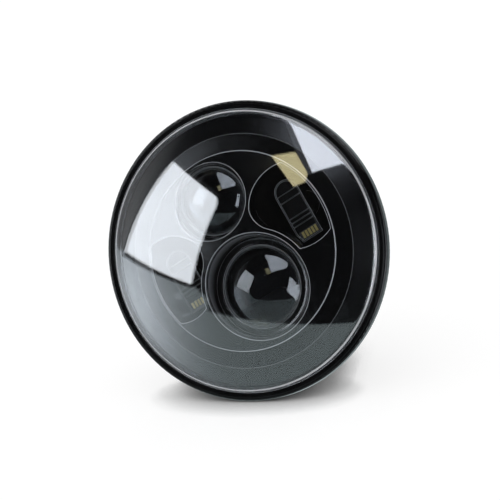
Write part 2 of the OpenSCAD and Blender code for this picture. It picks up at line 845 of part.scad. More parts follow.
// Capacitors, coil and switching parts on the driver board
module driver_parts() {
  top = driver_z - board_t;
  tall = chamber_depth - standoff_h - board_t - locknut_h - 1.4;
  out = driver_r / 2;
  color([0.25, 0.25, 0.27]) face_forward() {
    for (y = [out * 0.7, -out * 0.45]) translate([-out - 1, y, 0]) rod(capacitor_r, top - tall, top);
    translate([out, -out * 0.9, 0]) tube(coil_r, coil_in_r, top - tall, top);
    translate([out - 3, out * 0.3, top - chip_pack.z]) cube(chip_pack);
    translate([-chip_pack.x, -out * 1.45, top - chip_pack.z]) cube(chip_pack);
  }
}

// Soft pad that carries the driver's heat to the housing
module thermal_pad() {
  color([0.75, 0.75, 0.8]) face_forward()
    translate([-pad_size.x / 2, -pad_size.y - 2, driver_z]) cube([pad_size.x, pad_size.y, standoff_h]);
}

// Rear cover with holes for the gland and the vent
module rear_cover() {
  color([0.06, 0.06, 0.065]) face_forward() difference() {
    translate([0, 0, cover_z]) linear_extrude(cover_t) cover_outline();
    tube(chamber_out_r - 0.8, chamber_r + 0.6, chamber_z - seal_t, chamber_z + 1);
    four_ways() rotate([0, 0, 45]) translate([cover_screw_r, 0, 0])
      rod(screw_r + screw_gap, cover_z - 1, chamber_z + 1);
    rod(gland_r + screw_gap, cover_z - 1, chamber_z + 1);
    translate([0, vent_y, 0]) rod(vent_r - vent_stem_in + screw_gap, cover_z - 1, chamber_z + 1);
  }
}

// Flat seal in the cover's groove
module cover_seal() {
  color([0.12, 0.12, 0.12]) face_forward()
    tube(chamber_out_r - 0.8, chamber_r + 0.6, chamber_z - seal_t, chamber_z);
}

// Screws of the rear cover, with their heads behind it
module cover_screws() {
  color([0.7, 0.7, 0.72]) face_forward() four_ways() rotate([0, 0, 45])
    translate([cover_screw_r, 0, cover_z]) mirror([0, 0, 1]) screw(0, cover_t + thread_in);
}

// Body of the cable gland: hexagon behind the cover and thread through it
module cable_gland() {
  color([0.08, 0.08, 0.08]) face_forward() difference() {
    union() {
      translate([0, 0, cover_z - gland_hex_h])
        cylinder(h = gland_hex_h, r = gland_r + gland_hex_w, $fn = 6);
      rod(gland_r, cover_z - 1, chamber_z + locknut_h + 0.4);
      rod(gland_r, cover_z - gland_hex_h - gland_thread_h, cover_z - 1);
    }
    rod(gland_r - gland_wall, cover_z - gland_hex_h - gland_thread_h - 1, chamber_z + locknut_h + 1);
  }
}

// Nut that holds the gland from inside the cover
module gland_locknut() {
  color([0.1, 0.1, 0.1]) face_forward() difference() {
    translate([0, 0, chamber_z]) cylinder(h = locknut_h, r = gland_r + gland_hex_w, $fn = 6);
    rod(gland_r + screw_gap, chamber_z - 1, chamber_z + locknut_h + 1);
  }
}

// Dome nut of the gland
module gland_nut() {
  top = cover_z - gland_hex_h;
  color([0.08, 0.08, 0.08]) face_forward() difference() {
    union() {
      translate([0, 0, top - gland_nut_h / 2])
        cylinder(h = gland_nut_h / 2, r = gland_r + nut_w, $fn = 6);
      translate([0, 0, top - gland_nut_h])
        cylinder(h = gland_nut_h / 2 + 0.1, r1 = cable_r + nut_w - 0.6, r2 = gland_r + nut_w - 0.8);
    }
    rod(gland_r + screw_gap, top - gland_thread_h - 0.2, top + 1);
    rod(cable_r + 0.6, top - gland_nut_h - 1, top);
  }
}

// Rubber seal in the gland, with the hole for the cable
module gland_seal() {
  top = cover_z - gland_hex_h;
  color([0.14, 0.14, 0.14]) face_forward()
    tube(gland_r - gland_wall - 0.1, cable_r, top - gland_thread_h, top + 2);
}

// Vent plug that lets the chamber breathe
module vent_plug() {
  color([0.1, 0.1, 0.11]) face_forward() translate([0, vent_y, 0]) {
    difference() {
      union() {
        rod(vent_r, cover_z - vent_h, cover_z);
        rod(vent_r - vent_stem_in, cover_z - 1, chamber_z + 1);
      }
      for (a = [0 : 60 : 300]) rotate([0, 0, a]) translate([vent_r - 2, -0.5, cover_z - vent_h - 1])
        cube([3, 1, 1.8]);
    }
  }
}

housing();
lens_seal();
front_lens();
bezel();
low_beam_lens();
low_lens_ring();
low_lens_holder();
low_cutoff_shield();
low_reflector();
low_led_board();
low_led_chips();
high_beam_lens();
high_lens_ring();
high_lens_holder();
high_reflector();
high_led_board();
high_led_chips();
left_side_reflector();
right_side_reflector();
left_lamp_bar();
right_lamp_bar();
left_bar_board();
right_bar_board();
left_bar_chips();
right_bar_chips();
heat_plate();
projector_screws();
bezel_screws();
plate_screws();
driver_board();
driver_parts();
thermal_pad();
rear_cover();
cover_seal();
cover_screws();
cable_gland();
gland_locknut();
gland_nut();
gland_seal();
vent_plug();
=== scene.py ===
# %% [markdown]
# A round motorcycle headlight, stood on its rim on a white table.
# The frame gives every solid of the lamp in metres: -Y is the front, +Z is up as mounted, and the
# origin is the middle of the rim. Curved parts that mirror the room are computed anew here as smooth
# surfaces, because a mirror shows every facet, and the rest keeps its solid and gets a finish.

# %% Load the frame
import json
import math

import bpy
import numpy as np
from mathutils import Matrix, Vector
from mathutils.geometry import delaunay_2d_cdt


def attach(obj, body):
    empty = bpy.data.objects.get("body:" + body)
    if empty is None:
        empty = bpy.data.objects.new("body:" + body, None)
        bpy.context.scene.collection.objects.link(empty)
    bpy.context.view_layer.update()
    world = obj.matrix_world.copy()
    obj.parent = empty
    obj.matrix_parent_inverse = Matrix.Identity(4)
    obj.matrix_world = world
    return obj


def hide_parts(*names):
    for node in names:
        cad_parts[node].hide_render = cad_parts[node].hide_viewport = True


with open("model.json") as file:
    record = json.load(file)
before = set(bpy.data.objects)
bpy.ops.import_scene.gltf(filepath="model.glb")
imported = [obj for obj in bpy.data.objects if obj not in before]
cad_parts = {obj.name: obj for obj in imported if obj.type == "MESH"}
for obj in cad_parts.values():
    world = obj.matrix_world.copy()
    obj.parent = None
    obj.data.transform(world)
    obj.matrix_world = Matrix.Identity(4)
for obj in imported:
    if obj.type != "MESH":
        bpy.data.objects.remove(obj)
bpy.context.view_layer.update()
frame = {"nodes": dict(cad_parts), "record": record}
nodes = frame["nodes"]

# %% [markdown]
# Shapes are worked out in millimetres in the lamp's own drawing frame: x to the right, y up and z
# forward, all seen from the front. One function turns them into metres in the row frame.

# %% Helpers for making meshes
MM = 0.001


def to_row(points):
    """Drawing frame in mm to the row frame in metres: (x, y, z) becomes (x, -z, y) / 1000."""
    points = np.asarray(points, float)
    return np.stack([points[..., 0], -points[..., 2], points[..., 1]], -1) * MM


def quads(rows, columns, wrap_rows=False):
    """Faces of a grid closed round its columns: each joins (i, j) to (i, j+1), (i+1, j+1) and (i+1, j)."""
    i = np.arange(rows if wrap_rows else rows - 1)[:, None]
    j = np.arange(columns)[None, :]
    i2, j2 = (i + 1) % rows, (j + 1) % columns
    return np.stack([i * columns + j, i * columns + j2, i2 * columns + j2, i2 * columns + j], -1).reshape(-1, 4)


def make_mesh(name, parts, sharp=38):
    """One mesh object of (points, faces, edge marks) parts in drawing mm, shaded smooth below the sharp angle."""
    points, faces, marks, total = [], [], [], 0
    for part_points, part_faces, part_marks in parts:
        points.append(part_points)
        faces += [[corner + total for corner in face] for face in part_faces]
        marks.append(part_marks)
        total += len(part_points)
    mesh = bpy.data.meshes.new(name)
    mesh.from_pydata(to_row(np.vstack(points)).tolist(), [], faces)
    mesh.polygons.foreach_set("use_smooth", np.ones(len(mesh.polygons), bool))
    mesh.set_sharp_from_angle(angle=math.radians(sharp))
    mesh.attributes.new("edge", "FLOAT", "POINT").data.foreach_set("value", np.concatenate(marks))
    piece = bpy.data.objects.new(name, mesh)
    bpy.context.scene.collection.objects.link(piece)
    return piece


def turned(profile, segments=360, centre=(0, 0), marks=None):
    """A closed half section (radius, z) turned round an axis: point (r, z) at angle t is (r cos t, r sin t, z)."""
    profile = np.asarray(profile, float)
    marks = np.zeros(len(profile)) if marks is None else np.asarray(marks, float)
    area = np.sum(profile[:, 0] * np.roll(profile[:, 1], -1) - np.roll(profile[:, 0], -1) * profile[:, 1])
    t = np.linspace(0, 2 * np.pi, segments, endpoint=False)
    has_poles = (profile[:, 0] < 1e-9).any()
    rings = profile[1:-1] if has_poles else profile
    r, z = rings[:, 0][:, None], rings[:, 1][:, None]
    points = np.stack([centre[0] + r * np.cos(t), centre[1] + r * np.sin(t), z + 0 * t], -1).reshape(-1, 3)
    faces = quads(len(rings), segments, not has_poles).tolist()
    marks = np.repeat(marks[1:-1] if has_poles else marks, segments)
    if has_poles:
        marks = np.append(marks, [0, 0])
        count, j = len(points), np.arange(segments)
        last = count - segments
        faces += np.stack([(j + 1) % segments, j, np.full(segments, count)], -1).tolist()
        faces += np.stack([last + j, last + (j + 1) % segments, np.full(segments, count + 1)], -1).tolist()
        points = np.vstack([points, [[*centre, profile[0, 1]], [*centre, profile[-1, 1]]]])
    return points, [face[::-1] for face in faces] if area < 0 else faces, marks


def skin(loops, marks):
    """Closed skin over loops of equal count, ends closed by middle points, turned outward by its volume's sign."""
    count, rows = len(loops[0]), len(loops)
    points = np.vstack(loops + [loops[0].mean(axis=0), loops[-1].mean(axis=0)])
    j, last = np.arange(count), (rows - 1) * count
    faces = quads(rows, count)
    ends = np.vstack([np.stack([(j + 1) % count, j, np.full(count, rows * count)], -1),
                      np.stack([last + j, last + (j + 1) % count, np.full(count, rows * count + 1)], -1)])
    triangles = np.vstack([faces[:, :3], faces[:, [0, 2, 3]], ends])
    a, b, c = (points[triangles[:, k]] for k in range(3))
    faces = faces.tolist() + ends.tolist()
    marks = np.append(np.repeat(marks, count), [0, 0])
    return points, [face[::-1] for face in faces] if np.sum(a * np.cross(b, c)) < 0 else faces, marks


def mirrored(part):
    """The same part on the other side of the middle plane: x changes its sign and the faces turn round."""
    points, faces, marks = part
    return points * [-1, 1, 1], [face[::-1] for face in faces], marks


def arc(centre, radius, start, end, count):
    """Points on a circle from one angle to another, in degrees, as (radius, z) pairs."""
    a = np.radians(np.linspace(start, end, count))
    return np.stack([centre[0] + radius * np.cos(a), centre[1] + radius * np.sin(a)], -1)


# %% [markdown]
# Sizes that the drawing of the lamp gives, in mm. They are repeated here, because this script reads only
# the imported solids, and the new surfaces have to seat on the solids that stay. The lens and the bezel
# are both shallow caps of a ball, so each one's ball follows from its rise over its edge:
# R = (r^2 + h^2) / (2 h).

# %% Sizes of the lens and the bezel
LENS_R, LENS_WALL, SHOULDER_R = 84.0, 2.6, 4.0
CREASE_R, CREASE_Z, DOME_RISE = 69.4, 10.2, 12.3
SKIRT_Z = -3.5
DOME_R = (CREASE_R**2 + DOME_RISE**2) / (2 * DOME_RISE)
DOME_Z = CREASE_Z + DOME_RISE - DOME_R
STEP_R, STEP_Z, STEP_H, BEZEL_WALL, LENS_GAP = 59.3, 8.6, 0.7, 2.0, 1.0
BEZEL_TOP = CREASE_Z + DOME_RISE - LENS_WALL - LENS_GAP
BEZEL_R = (STEP_R**2 + (BEZEL_TOP - STEP_Z) ** 2) / (2 * (BEZEL_TOP - STEP_Z))
BEZEL_Z = BEZEL_TOP - BEZEL_R
LOW_Y, HIGH_Y, LOW_OPEN, HIGH_OPEN, BEVEL = -24.4, 34.4, 32.2, 23.6, 1.3
LOW_WEB, HIGH_WEB, WAIST = LOW_OPEN + 3, HIGH_OPEN + 1.8, 16.0
LOW_RING, HIGH_RING = 28.8, 21.9
LOW_GLASS, LOW_RISE, LOW_SEAT = 24.4, 9.4, 4.0
HIGH_GLASS, HIGH_RISE, HIGH_SEAT = 20.2, 7.4, 5.0
FLANGE_T, FLANGE_W, LIP_T = 2.0, 0.8, 1.6
BOWL_X, BOWL_Y, BOWL_R, BOWL_TOP, BOWL_DEPTH, BOWL_WALL = 43.5, 6.0, 26.0, 6.5, 19.5, 1.2
SIDE_LIMIT = STEP_R - 1.4
PLATE_Z = -36.0
PILLAR_R, PILLAR_X, PILLAR_Y, PILLAR_HOLE_R, PILLAR_HOLE_DEPTH = 3.6, 30.0, 46.06, 1.6, 8.0
print("dome radius of lens and bezel", round(DOME_R, 1), round(BEZEL_R, 1))

# %% [markdown]
# The camera comes early, because the reflections are planned from it. It stands a little to the lamp's
# right and below its axis, and the lamp is turned about its axis by 29 degrees. So the camera's back
# direction is given in the lamp's frame, and its up direction is the lamp's own up turned by that
# clocking angle.

# %% Camera
AZIMUTH, ELEVATION, CLOCKING = np.radians([19.83, -9.51, 29.35])
DISTANCE = 2.0
FRAME_WIDTH = 0.29605
AIM_RIGHT, AIM_UP = 0.00192, 0.00037
SENSOR = 36.0
TO_CAMERA = np.array([math.sin(AZIMUTH) * math.cos(ELEVATION), -math.cos(AZIMUTH) * math.cos(ELEVATION),
                      math.sin(ELEVATION)])
lamp_up = np.array([0.0, 0.0, 1.0]) - TO_CAMERA[2] * TO_CAMERA
lamp_up /= np.linalg.norm(lamp_up)
lamp_right = np.cross(lamp_up, TO_CAMERA)
CAMERA_UP = math.cos(CLOCKING) * lamp_up + math.sin(CLOCKING) * lamp_right
CAMERA_RIGHT = np.cross(CAMERA_UP, TO_CAMERA)
aim = AIM_RIGHT * CAMERA_RIGHT + AIM_UP * CAMERA_UP
eye = aim + DISTANCE * TO_CAMERA

camera_data = bpy.data.cameras.new("camera")
camera_data.sensor_width = SENSOR
camera_data.lens = SENSOR * DISTANCE / FRAME_WIDTH
camera_data.clip_start, camera_data.clip_end = 0.05, 50.0
camera = bpy.data.objects.new("camera", camera_data)
bpy.context.scene.collection.objects.link(camera)
camera.matrix_world = Matrix(np.vstack([
    np.column_stack([CAMERA_RIGHT, CAMERA_UP, TO_CAMERA, eye]), [0, 0, 0, 1]]).tolist())
bpy.context.scene.camera = camera
print("camera at", np.round(eye, 3), "lens", round(camera_data.lens, 1), "mm")

# %% [markdown]
# Finishes. Each one is a small node tree that reads Object coordinates: a fine noise moves the
# roughness, so that a gloss is never perfectly even, and a finer one gives a slight bump. Where a
# surface carries edge marks, they paint it lighter and duller: painted highlight lines along its edges.


# %% Material helpers
def node_adder(tree):
    """A function that adds a node with its values and links to this emptied tree."""
    tree.nodes.clear()

    def add(kind, inputs=None, **values):
        node = tree.nodes.new(kind)
        for key, value in values.items():
            setattr(node, key, value)
        for key, value in (inputs or {}).items():
            socket = node.inputs[key]
            if isinstance(value, bpy.types.NodeSocket):
                tree.links.new(value, socket)
            else:
                socket.default_value = value
        return node

    return add


def new_material(name):
    """An empty node material and the function that adds nodes to it."""
    material = bpy.data.materials.new(name)
    material.use_nodes = True
    return material, node_adder(material.node_tree)


CLOUD_SCALE, GRAIN_SCALE = 48.0, 400.0
BUMP_DEPTH = 0.0003
HIGHLIGHT_ROUGHNESS = 0.3


def surface(name, low, high, rough, metal=0.0, bump=0.02, spread=0.06, specular=0.5,
            rounding=0.0003, edge=(0.42, 0.43, 0.46)):
    """Two close colours mixed by noise, roughness that varies by it, fine bump, soft corners, painted highlight lines
    on marked edges.
    """
    material, add = new_material(name)
    place = add("ShaderNodeTexCoord").outputs["Object"]
    cloud = add("ShaderNodeTexNoise", {"Vector": place, "Scale": CLOUD_SCALE, "Detail": 5.0, "Roughness": 0.6})
    fine = add("ShaderNodeTexNoise", {"Vector": place, "Scale": GRAIN_SCALE, "Detail": 3.0})
    edge_highlight_mark = add("ShaderNodeAttribute", attribute_name="edge").outputs["Fac"]
    tint = add("ShaderNodeMix", {"Factor": cloud.outputs["Fac"], "A": (*low, 1), "B": (*high, 1)},
               data_type="RGBA")
    # painted highlight: marked edges are mixed toward the light edge colour
    tone = add("ShaderNodeMix", {"Factor": edge_highlight_mark, "A": tint.outputs["Result"], "B": (*edge, 1)}, data_type="RGBA")
    level = add("ShaderNodeMapRange", {"Value": cloud.outputs["Fac"], "To Min": max(rough - spread, 0.0),
                                       "To Max": rough + spread})
    gloss = add("ShaderNodeMix", {"Factor": edge_highlight_mark, "A": level.outputs["Result"], "B": HIGHLIGHT_ROUGHNESS},
                data_type="FLOAT")
    height = {"Height": fine.outputs["Fac"], "Strength": bump, "Distance": BUMP_DEPTH}
    if rounding:
        height["Normal"] = add("ShaderNodeBevel", {"Radius": rounding}, samples=6).outputs["Normal"]
    relief = add("ShaderNodeBump", height)
    shader = add("ShaderNodeBsdfPrincipled", {
        "Base Color": tone.outputs["Result"], "Metallic": metal, "Roughness": gloss.outputs["Result"],
        "Normal": relief.outputs["Normal"], "Specular IOR Level": specular})
    add("ShaderNodeOutputMaterial", {"Surface": shader.outputs["BSDF"]})
    return material


def clear_plastic(name, tint, ior=1.58):
    """A thin clear wall: it shows what is behind, mirrors a Fresnel share, and its marked edge carries a painted
    highlight.
    """
    material, add = new_material(name)
    place = add("ShaderNodeTexCoord").outputs["Object"]
    film = add("ShaderNodeTexNoise", {"Vector": place, "Scale": 35.0, "Detail": 4.0})
    level = add("ShaderNodeMapRange", {"Value": film.outputs["Fac"], "To Min": 0.0, "To Max": 0.02})
    ripple = add("ShaderNodeBump", {"Height": film.outputs["Fac"], "Strength": 0.02, "Distance": 0.0005})
    through = add("ShaderNodeBsdfTransparent", {"Color": (*tint, 1)})
    mirror = add("ShaderNodeBsdfGlossy", {"Color": (1, 1, 1, 1), "Roughness": level.outputs["Result"],
                                          "Normal": ripple.outputs["Normal"]})
    behind = add("ShaderNodeNewGeometry").outputs["Backfacing"]
    bend = add("ShaderNodeMix", {"Factor": behind, "A": ior, "B": 1.0 / ior}, data_type="FLOAT")
    share = add("ShaderNodeFresnel", {"IOR": bend.outputs["Result"]}).outputs["Fac"]
    clear = add("ShaderNodeMixShader", {0: share, 1: through.outputs["BSDF"], 2: mirror.outputs["BSDF"]})
    # painted highlight: a bright grey-white surface laid over the marked shoulder
    bright = add("ShaderNodeBsdfPrincipled", {"Base Color": (0.86, 0.88, 0.92, 1), "Roughness": 0.2})
    edge = add("ShaderNodeAttribute", attribute_name="edge").outputs["Fac"]
    mixed = add("ShaderNodeMixShader", {0: edge, 1: clear.outputs["Shader"], 2: bright.outputs["BSDF"]})
    add("ShaderNodeOutputMaterial", {"Surface": mixed.outputs["Shader"]})
    return material


def thick_glass(name, tint, ior=1.52):
    """Solid glass: light bends through it, only its outer side mirrors, and the edge mark paints its foot grey, a
    painted glow of its edge.
    """
    material, add = new_material(name)
    place = add("ShaderNodeTexCoord").outputs["Object"]
    film = add("ShaderNodeTexNoise", {"Vector": place, "Scale": 60.0, "Detail": 4.0})
    level = add("ShaderNodeMapRange", {"Value": film.outputs["Fac"], "To Min": 0.0, "To Max": 0.02})
    through = add("ShaderNodeBsdfRefraction", {"Color": (*tint, 1), "Roughness": level.outputs["Result"],
                                               "IOR": ior})
    mirror = add("ShaderNodeBsdfGlossy", {"Color": (1, 1, 1, 1), "Roughness": level.outputs["Result"]})
    behind = add("ShaderNodeNewGeometry").outputs["Backfacing"]
    share = add("ShaderNodeFresnel", {"IOR": ior}).outputs["Fac"]
    outer = add("ShaderNodeMath", {0: 1.0, 1: behind}, operation="SUBTRACT").outputs[0]
    fraction = add("ShaderNodeMath", {0: share, 1: outer}, operation="MULTIPLY").outputs[0]
    clear = add("ShaderNodeMixShader", {0: fraction, 1: through.outputs["BSDF"], 2: mirror.outputs["BSDF"]})
    painted_foot_glow = add("ShaderNodeBsdfPrincipled", {"Base Color": (0.30, 0.32, 0.33, 1), "Roughness": 0.3})
    foot = add("ShaderNodeAttribute", attribute_name="edge").outputs["Fac"]
    mixed = add("ShaderNodeMixShader", {0: foot, 1: clear.outputs["Shader"], 2: painted_foot_glow.outputs["BSDF"]})
    add("ShaderNodeOutputMaterial", {"Surface": mixed.outputs["Shader"]})
    return material


# %% [markdown]
# The lamp's finishes: gloss and satin blacks in front, bare metal and boards inside. Each entry gives two
# close colours and a roughness. Pieces computed here have real roundings, so the shader's rounding is 0
# for them, and the bump is 0 where it would break up a sharp reflection.

# %% Finishes of the lamp
# An entry's edge colour is the painted highlight that the edge marks put on that finish.
LOOKS = {
    "housing_black": dict(low=(0.0015, 0.0015, 0.0017), high=(0.004, 0.004, 0.0043), rough=0.16, bump=0.04,
                          rounding=0.0006, specular=0.22),
    "seal_grey": dict(low=(0.30, 0.31, 0.33), high=(0.38, 0.39, 0.41), rough=0.35),
    "bezel_black": dict(low=(0.001, 0.001, 0.0012), high=(0.0022, 0.0022, 0.0025), rough=0.22, bump=0.0,
                        specular=0.2, rounding=0, edge=(0.78, 0.80, 0.84)),
    "ring_grey": dict(low=(0.002, 0.002, 0.002), high=(0.004, 0.004, 0.004), rough=0.16, rounding=0,
                      edge=(0.5, 0.51, 0.54)),
    "holder_black": dict(low=(0.002, 0.002, 0.002), high=(0.004, 0.004, 0.004), rough=0.5, specular=0.2),
    # The shield, reflector, white board and yellow chips below are coloured far darker than their own steel, bright
    # metal, white and yellow: painted shade of the lamp's dim inside.
    "shield_steel": dict(low=(0.01, 0.01, 0.011), high=(0.02, 0.02, 0.021), rough=0.35, metal=0.6),
    "reflector_bright": dict(low=(0.08, 0.08, 0.085), high=(0.12, 0.12, 0.125), rough=0.12, metal=1.0, bump=0.0),
    "board_white": dict(low=(0.10, 0.10, 0.09), high=(0.14, 0.14, 0.13), rough=0.45),
    "chip_yellow": dict(low=(0.30, 0.25, 0.09), high=(0.42, 0.36, 0.15), rough=0.25),
    "bowl_dark": dict(low=(0.004, 0.004, 0.004), high=(0.008, 0.007, 0.006), rough=0.06, bump=0.0, spread=0.02,
                      specular=0.9, rounding=0),
    "bar_dark": dict(low=(0.004, 0.004, 0.004), high=(0.008, 0.008, 0.008), rough=0.08, specular=0.8, rounding=0,
                     edge=(0.2, 0.21, 0.22)),
    "bar_board_dark": dict(low=(0.01, 0.01, 0.009), high=(0.02, 0.02, 0.018), rough=0.4),
    "plate_aluminium": dict(low=(0.5, 0.51, 0.52), high=(0.6, 0.61, 0.62), rough=0.35, metal=1.0),
    "screw_steel": dict(low=(0.42, 0.42, 0.43), high=(0.58, 0.58, 0.59), rough=0.28, metal=1.0, spread=0.1),
    "board_green": dict(low=(0.01, 0.09, 0.03), high=(0.02, 0.13, 0.05), rough=0.3),
    "parts_dark": dict(low=(0.03, 0.03, 0.035), high=(0.06, 0.06, 0.065), rough=0.5),
    "pad_grey": dict(low=(0.28, 0.31, 0.38), high=(0.35, 0.38, 0.45), rough=0.7),
    "cover_black": dict(low=(0.008, 0.008, 0.009), high=(0.016, 0.016, 0.018), rough=0.3, bump=0.15,
                        rounding=0.0006),
    "rubber_black": dict(low=(0.012, 0.012, 0.012), high=(0.02, 0.02, 0.02), rough=0.6, bump=0.1),
    "gland_black": dict(low=(0.014, 0.014, 0.014), high=(0.024, 0.024, 0.024), rough=0.45, bump=0.1,
                        rounding=0.0005),
}
FINISHES = {name: surface(name, **look) for name, look in LOOKS.items()}
FINISHES["lens_clear"] = clear_plastic("lens_clear", (0.95, 0.96, 0.97))
FINISHES["projector_glass"] = thick_glass("projector_glass", (0.95, 0.98, 1.0))
record = frame["record"]
for part in record["subparts"]:
    node = nodes[part["node"]]
    node.data.materials.clear()
    node.data.materials.append(FINISHES[part["material_slot"]])
print(len(FINISHES), "finishes on", len(record["subparts"]), "nodes")


def dress(piece, node, slot):
    """The piece gets the slot's finish, rides with the lamp and stands for a CAD node."""
    piece.data.materials.clear()
    piece.data.materials.append(FINISHES[slot])
    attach(piece, "root")
    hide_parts(node)
    print(piece.name, len(piece.data.polygons), "faces")


# %% [markdown]
# The clear front lens is a moulded dome with a round shoulder and a skirt in the housing's groove. The
# dome runs on smoothly to the shoulder, so that a mirrored soft box keeps straight sides. The shoulder
# gathers light in the real lamp and shows as a bright ring, which the edge mark paints on here as a highlight.


# %% Front lens
RING_FROM, RING_TO, RING_MARK = LENS_R - 1.7, LENS_R - 0.7, 0.55


def lens_profile():
    """The dome's arc to where the shoulder's circle touches it, the shoulder, the skirt, and the inner side back."""
    shoulder_x = LENS_R - SHOULDER_R
    shoulder_z = DOME_Z + math.sqrt((DOME_R - SHOULDER_R) ** 2 - shoulder_x**2)
    touch = math.degrees(math.acos(shoulder_x / (DOME_R - SHOULDER_R)))
    sides, marks = [], []
    for depth in (0.0, LENS_WALL):
        dome = arc((0, DOME_Z), DOME_R - depth, 90, touch, 72)
        shoulder = arc((shoulder_x, shoulder_z), SHOULDER_R - depth, touch, 0, 25)[1:]
        foot = np.linspace(shoulder[-1], [LENS_R - depth, SKIRT_Z], 6)[1:]
        sides.append(np.vstack([dome, shoulder, foot]))
        r = sides[-1][:, 0]
        marks.append(((r > RING_FROM) & (r < RING_TO) & (depth == 0)) * RING_MARK)
    profile = np.vstack([sides[0], sides[1][::-1]])
    profile[0, 0] = profile[-1, 0] = 0.0
    return profile, np.concatenate([marks[0], marks[1][::-1]])


profile, ring_marks = lens_profile()
dress(make_mesh("clear_lens", [turned(profile, marks=ring_marks)], 50), "front_lens", "lens_clear")

# %% [markdown]
# The black inner bezel is a shallow dome with four openings: two round ones for the projectors and a
# half-moon on each side, which leave an eight-shaped web between them. Its outlines are found by
# walking out from a middle point at every angle until a signed distance says that the edge is met. The
# dome between the outlines is triangulated in plan and lifted onto the ball, and every edge gets a
# small rounding, because it is such roundings that catch the light as thin bright lines. The edge marks
# on these roundings also paint them near white: painted highlight lines.


# %% Outlines of the openings
def web_distance(x, y, grow=0.0):
    """Distance outside the eight-shaped web in plan: the nearer of its two discs, at the waist the hollow arc."""
    low, high, hollow = LOW_WEB + grow, HIGH_WEB + grow, WAIST - grow
    span = HIGH_Y - LOW_Y
    along = ((low + hollow) ** 2 - (high + hollow) ** 2 + span**2) / (2 * span)
    hollow_x = math.sqrt((low + hollow) ** 2 - along**2)
    hollow_y = LOW_Y + along
    x = np.abs(x)
    discs = np.minimum(np.hypot(x, y - LOW_Y) - low, np.hypot(x, y - HIGH_Y) - high)
    above_low = y > LOW_Y + (hollow_y - LOW_Y) * x / hollow_x
    below_high = y < HIGH_Y - (HIGH_Y - hollow_y) * x / hollow_x
    in_waist = (x < hollow_x) & above_low & below_high
    return np.where(in_waist, hollow - np.hypot(x - hollow_x, y - hollow_y), discs)


OUTLINE_COUNT, FARTHEST, HALVINGS = 360, 45.0, 40


def walk_out(middle, distance):
    """Closed outline round a middle: along each ray, bisection finds where the signed distance turns positive."""
    angle = np.linspace(0, 2 * np.pi, OUTLINE_COUNT, endpoint=False)
    near, far = np.zeros(OUTLINE_COUNT), np.full(OUTLINE_COUNT, FARTHEST)
    for _ in range(HALVINGS):
        r = (near + far) / 2
        outside = distance(middle[0] + r * np.cos(angle), middle[1] + r * np.sin(angle)) > 0
        far, near = np.where(outside, r, far), np.where(outside, near, r)
    return np.stack([middle[0] + near * np.cos(angle), middle[1] + near * np.sin(angle)], -1)


def side_distance(x, y, grow):
    """Distance outside the right side opening: the largest of bowl circle's, step circle's and minus the web's."""
    return np.maximum.reduce([np.hypot(x - BOWL_X, y - BOWL_Y) - BOWL_R - grow,
                              np.hypot(x, y) - SIDE_LIMIT - grow, -web_distance(x, y, -grow)])


def side_outline(grow):
    """Edge of the right side opening, grown outward."""
    return walk_out((BOWL_X, BOWL_Y), lambda x, y: side_distance(x, y, grow))


def ball_height(r, ball=BEZEL_R):
    """Height of the bezel's dome, or of a ball of another radius round its centre, at a distance from the axis."""
    return BEZEL_Z + np.sqrt(ball**2 - r**2)


def raised(plan, z):
    """Plan points set at one height, or at one height each."""
    return np.column_stack([plan, np.broadcast_to(z, len(plan))])


def on_ball(plan, radius, sink=0.0):
    """Plan points lifted onto a ball round the bezel dome's centre."""
    return raised(plan, ball_height(np.hypot(*plan.T), radius) - sink)


EDGE = 0.3
RIB = 0.9
NEAR_EDGE = (0.52, 0.4, 0.32)
EDGE_TURNS = np.radians([90, 67, 45, 22, 0])
# edge marks of the side opening's loops: painted highlight lines on its rounded edge
SIDE_MARKS = [0, 0, 0, 0.9, 0.9, 0.7, 0.2, 0, 0, 0, 0, 0]


def side_wall_loops():
    """Loops of a side opening: dome, rounded edge, wall, under the rib; and their edge marks."""
    loops = [on_ball(side_outline(grow), BEZEL_R) for grow in NEAR_EDGE]
    for turn in EDGE_TURNS:
        loops.append(on_ball(side_outline(EDGE * (1 - math.cos(turn))), BEZEL_R, EDGE * (1 - math.sin(turn))))
    wall, foot = side_outline(0.0), side_outline(RIB)
    loops += [raised(wall, BOWL_TOP + 0.3), raised(wall, BOWL_TOP), raised(foot, BOWL_TOP)]
    loops.append(on_ball(foot, BEZEL_R - BEZEL_WALL))
    return loops, SIDE_MARKS


print("side opening spans", np.round(np.ptp(side_outline(0.0), axis=0), 1), "mm")

# %% [markdown]
# A cap is the part of the dome between its edge and the openings. Points of a triangular grid fill
# the plan, every outline is kept as an edge of the triangulation, and triangles whose middle lies in
# an opening are dropped.


# %% Caps and walls between loops
def inside(points, loop):
    """True where a ray from the point to the right crosses the closed loop an odd number of times."""
    a, b = loop, np.roll(loop, -1, axis=0)
    x, y = points[:, 0][:, None], points[:, 1][:, None]
    crosses = (a[:, 1] > y) != (b[:, 1] > y)
    with np.errstate(divide="ignore", invalid="ignore"):
        at = a[:, 0] + (y - a[:, 1]) / (b[:, 1] - a[:, 1]) * (b[:, 0] - a[:, 0])
    return (crosses & (x < at)).sum(axis=1) % 2 == 1


GRID_REACH = 70.0


